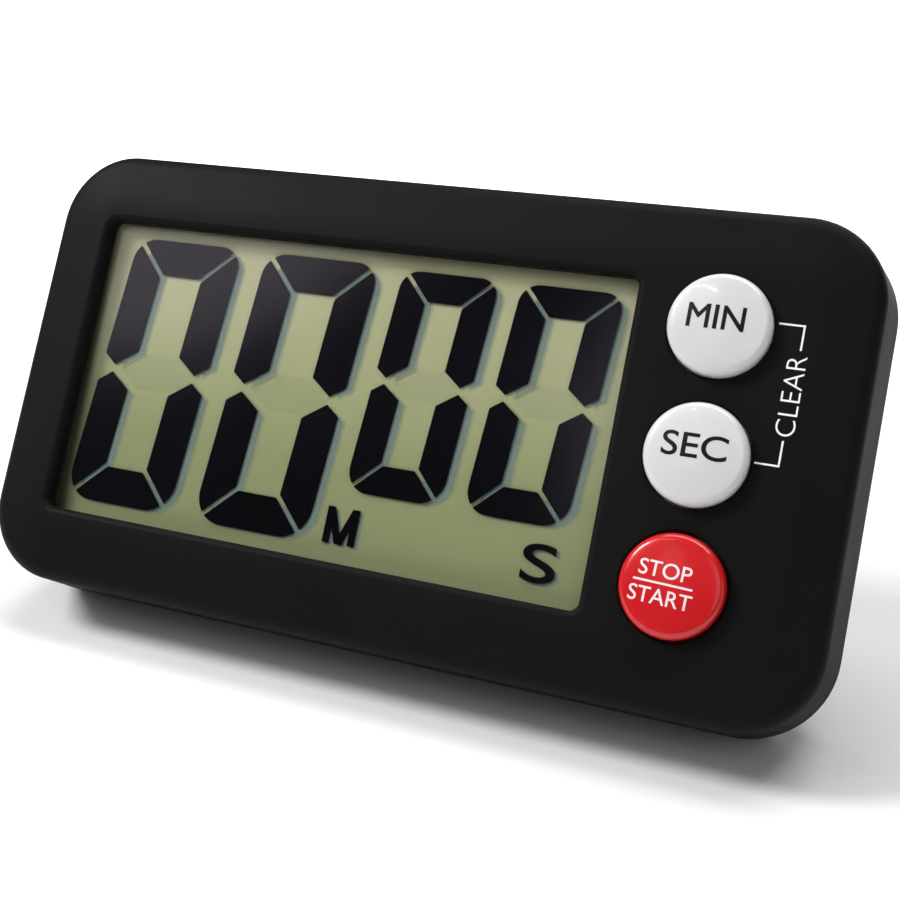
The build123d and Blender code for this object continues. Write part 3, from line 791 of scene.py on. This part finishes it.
caps = {
    "radius": 6.35, "crown": 0.6, "rounding": 0.9, "stand": 1.6, "flange": 7.55, "flangeTop": -2.3,
    "flangeBottom": -3.1, "stem": 1.9, "steps": 128, "domeSteps": 12, "edgeSteps": 8,
    "print": 0.02, "printCell": 0.4, "printCells": 14,
}


def domeHeight(distance):  # height of the cap's domed top at a distance from its middle
    ball = (caps["radius"] ** 2 + caps["crown"] ** 2) / (2 * caps["crown"])
    return caps["stand"] + caps["crown"] - ball + sqrt(ball ** 2 - distance ** 2)


def makeCap(node, body, slot):
    low, high = faceBox(node)
    x, y = (low.x + high.x) / 2, (low.y + high.y) / 2
    rounding = caps["rounding"]
    edge = caps["radius"] - rounding
    slope = edge / (caps["radius"] ** 2 + caps["crown"] ** 2) * 2 * caps["crown"]
    distances = [edge * i / caps["domeSteps"] for i in range(caps["domeSteps"] + 1)]
    profile = [(distance, domeHeight(distance)) for distance in distances]
    for i in range(1, caps["edgeSteps"] + 1):
        part = i / caps["edgeSteps"]
        angle = slope + (radians(90) - slope) * part
        reach = edge + rounding * sin(angle) - rounding * sin(slope) * (1 - part)
        profile.append((reach, domeHeight(edge) - rounding * (cos(slope) - cos(angle))))
    profile += [(caps["radius"], caps["flangeTop"]), (caps["flange"], caps["flangeTop"]),
                (caps["flange"], caps["flangeBottom"]), (caps["stem"], caps["flangeBottom"]),
                (caps["stem"], low.z), (0, low.z)]
    bm = bmesh.new()
    points = [bm.verts.new((px, 0, pz)) for px, pz in profile]
    for first, second in zip(points, points[1:]):
        bm.edges.new((first, second))
    bmesh.ops.spin(
        bm, geom=bm.verts[:] + bm.edges[:], cent=(0, 0, 0), axis=(0, 0, 1), angle=radians(360),
        steps=caps["steps"], use_merge=True,
    )
    bmesh.ops.remove_doubles(bm, verts=bm.verts, dist=1e-5)
    bmesh.ops.recalc_face_normals(bm, faces=bm.faces)
    bmesh.ops.translate(bm, vec=(x, y, 0), verts=bm.verts)
    name = node.replace("_button", "Cap").replace("_s", "S")
    cap = finishPiece(name, bm, body, finishes[slot], smooth=40)
    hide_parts(node)
    return x, y


# Printing follows the dome: the flat words are cut into small cells and each point is lifted.
def printOnCap(name, bm, x, y, body, material):
    cells = caps["printCells"]
    for normal in (Vector((1, 0, 0)), Vector((0, 1, 0))):
        for step in range(-cells, cells + 1):
            place = normal * (step * caps["printCell"])
            geometry = bm.verts[:] + bm.edges[:] + bm.faces[:]
            bmesh.ops.bisect_plane(bm, geom=geometry, plane_co=place, plane_no=normal, dist=1e-6)
    for vert in bm.verts:
        vert.co.z = domeHeight(vert.co.xy.length) + caps["print"]
    bmesh.ops.triangulate(bm, faces=bm.faces)
    bmesh.ops.recalc_face_normals(bm, faces=bm.faces)
    if sum(face.normal.z for face in bm.faces) < 0:
        bmesh.ops.reverse_faces(bm, faces=bm.faces)
    bmesh.ops.translate(bm, vec=(x, y, 0), verts=bm.verts)
    finishPiece(name, bm, body, material)


legends = {  # millimetres from each cap's middle
    "min": {"word": "MIN", "width": 7.0, "height": 3.0, "weight": 0.05, "place": (-0.35, 0.65)},
    "sec": {"word": "SEC", "width": 7.9, "height": 3.05, "weight": 0.04, "place": (-0.1, 0.83)},
    "stop": {"word": "STOP", "width": 6.35, "height": 1.9, "weight": 0.015, "place": (-0.87, 1.65)},
    "start": {"word": "START", "width": 7.65, "height": 1.9, "weight": 0.015, "place": (-0.9, -1.57)},
    "line": (7.2, 0.26, (-0.88, 0.04)), "redTurn": -2.2,
}


def capWord(key):
    look = legends[key]
    word = flatWord(look["word"], look["width"], look["height"], look["weight"])
    return moveFlat(word, *look["place"])


for key in ("min", "sec"):
    x, y = makeCap(f"{key}_button", f"{key}_key", "button_white")
    printOnCap(f"{key}Legend", capWord(key), x, y, f"{key}_key", printDark)
x, y = makeCap("start_stop_button", "start_stop_key", "button_red")
redWords = joinFlat([capWord("stop"), capWord("start"), flatBar(*legends["line"])])
redTurn = Matrix.Rotation(radians(legends["redTurn"]), 3, "Z")
bmesh.ops.rotate(redWords, cent=(*legends["line"][2], 0), matrix=redTurn, verts=redWords.verts)
printOnCap("startStopLegend", redWords, x, y, "start_stop_key", printPale)
print("buttons made")

stand = {"softEdge": 0.22, "cornerAngle": 40, "shortest": 0.9, "smooth": 12}


# A moulded plate's edges are never sharp: a merged copy of the stand gets a small rounding.
def makeStand(node="kickstand"):
    bm = bmesh.new()
    bm.from_mesh(nodes[node].data)
    bmesh.ops.remove_doubles(bm, verts=bm.verts, dist=1e-6)
    bmesh.ops.transform(bm, matrix=toFace, verts=bm.verts)
    bmesh.ops.dissolve_limit(bm, angle_limit=radians(1), verts=bm.verts, edges=bm.edges)
    corner = radians(stand["cornerAngle"])
    edges = [e for e in bm.edges if len(e.link_faces) == 2 and e.calc_face_angle() > corner]
    edges = [e for e in edges if e.calc_length() > stand["shortest"]]
    bmesh.ops.bevel(
        bm, geom=edges, offset=stand["softEdge"], affect="EDGES", segments=3, profile=0.5,
        material=-1, clamp_overlap=True,
    )
    bmesh.ops.triangulate(bm, faces=[face for face in bm.faces if len(face.verts) > 4])
    slot = slotOf[node]
    piece = finishPiece("standPlate", bm, "stand", finishes[slot], smooth=stand["smooth"])
    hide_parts(node)


makeStand()
print("stand made")

clearMark = {
    "word": "CLEAR", "length": 9.8, "height": 2.3, "weight": -0.045, "place": (60.07, 8.7),
    "left": 57.25, "line": 0.23, "lift": 0.012, "thickness": 0.01,
    "arms": ((60.4, 17.24, 14.23), (60.2, 0.19, 3.25)),  # each arm's right end, height and end
}


# The bracket that joins the two white buttons, with its word reading upwards.
def makeClearMark():
    look = clearMark
    wide = look["line"]
    word = flatWord(look["word"], look["length"], look["height"], look["weight"])
    pieces = [moveFlat(word, *look["place"], turn=90)]
    for right, edge, end in look["arms"]:
        bar = right - look["left"]
        pieces.append(flatBar(bar, wide, (look["left"] + bar / 2, edge)))
        pieces.append(flatBar(wide, abs(edge - end), (right - wide / 2, (edge + end) / 2)))
    mark = joinFlat(pieces)
    moveFlat(mark, windowX, 0, look["lift"])
    thicken(mark, look["thickness"])
    finishPiece("clearLegend", mark, "case", printWhite)


makeClearMark()
print("printing made")

studio = {
    "floor": (0.86, 0.86, 0.86), "room": 0.08, "camera": 1.0, "fade": (0.08, 0.4),
    "softboxes": {  # face place in mm, size in metres, watts
        "keyLight": ((-700, 520, 560), (0.3, 0.3), 8.6),
        "roundCard": ((-440, 290, 480), (0.456, 0.456), 0.82),
        "sideCard": ((-60, 80, 480), (0.1, 0.16), 0.035),
        "topLight": ((60, 760, 160), (0.8, 0.4), 5.0),
        "frontFill": ((420, 120, 620), (0.5, 0.5), 0.7),
        "stripLight": ((-140, 300, 480), (0.12, 0.008), 0.09),
        "rearFill": ((180, 620, -680), (0.6, 0.6), 3.6),
        "rightCard": ((640, 60, 60), (0.3, 0.4), 0.2),
    },
}


def makeFloor():
    material, tree, shader = newMaterial("floorPaper")
    grain = placeGroup(tree, mouldGrain, Grain=900.0, Patch=6.0)
    paler = tuple(part * 1.02 for part in studio["floor"])
    paint(tree, shader, mixColour(tree, grain["Patches"], studio["floor"], paler))
    shader.inputs["Roughness"].default_value = 0.9
    shader.inputs["Specular IOR Level"].default_value = 0.1
    path = addNode(tree, "ShaderNodeLightPath")  # the paper fades into the white room behind
    away = addNode(tree, "ShaderNodeVectorMath", {0: objectCoords(tree)}, operation="LENGTH")
    glow = mapRange(tree, away.outputs["Value"], studio["fade"], (0, 1), "SMOOTHSTEP")
    glow = calculate(tree, "MULTIPLY", glow, path.outputs["Is Camera Ray"])
    shader.inputs["Emission Color"].default_value = (1, 1, 1, 1)
    tree.links.new(glow, shader.inputs["Emission Strength"])
    bm = bmesh.new()
    bmesh.ops.create_grid(bm, x_segments=1, y_segments=1, size=3.0)
    mesh = bpy.data.meshes.new("studioFloor")
    bm.to_mesh(mesh)
    bm.free()
    mesh.materials.append(material)
    floor = bpy.data.objects.new("studioFloor", mesh)
    scene.collection.objects.link(floor)


def makeRoom():  # white to look at, dim to light with
    world = bpy.data.worlds.new("studioRoom")
    scene.world = world
    world.use_nodes = True
    background = world.node_tree.nodes["Background"]
    background.inputs["Color"].default_value = (1, 1, 1, 1)
    seen = addNode(world.node_tree, "ShaderNodeLightPath").outputs["Is Camera Ray"]
    level = mapRange(world.node_tree, seen, (0, 1), (studio["room"], studio["camera"]))
    world.node_tree.links.new(level, background.inputs["Strength"])


def addSoftbox(name, place, size, power):
    light = bpy.data.lights.new(name, "AREA")
    light.shape = "ELLIPSE" if "Card" in name else "RECTANGLE"
    light.size, light.size_y = size
    light.energy = power
    obj = bpy.data.objects.new(name, light)
    scene.collection.objects.link(obj)
    obj.location = facePlane @ Vector(place)
    aim = facePlane.translation - obj.location
    obj.rotation_euler = aim.to_track_quat("-Z", "Y").to_euler()


makeFloor()
makeRoom()
for name, (place, size, power) in studio["softboxes"].items():
    addSoftbox(name, place, size, power)

# Places on the drawing board.
cameraSetup = {"place": (68.6, -21.3, 158.6), "aim": (9.18, -4.16, 0.0), "lens": 53.26}


def makeCamera():
    camera = bpy.data.cameras.new("studioCamera")
    camera.lens = cameraSetup["lens"]
    camera.sensor_width = 36
    camera.clip_start = 0.005
    obj = bpy.data.objects.new("studioCamera", camera)
    scene.collection.objects.link(obj)
    obj.location = facePlane @ Vector(cameraSetup["place"])
    aim = facePlane @ Vector(cameraSetup["aim"]) - obj.location
    obj.rotation_euler = aim.to_track_quat("-Z", "Y").to_euler()
    scene.camera = obj


makeCamera()
scene.view_settings.view_transform = "Standard"
print("studio and camera set")
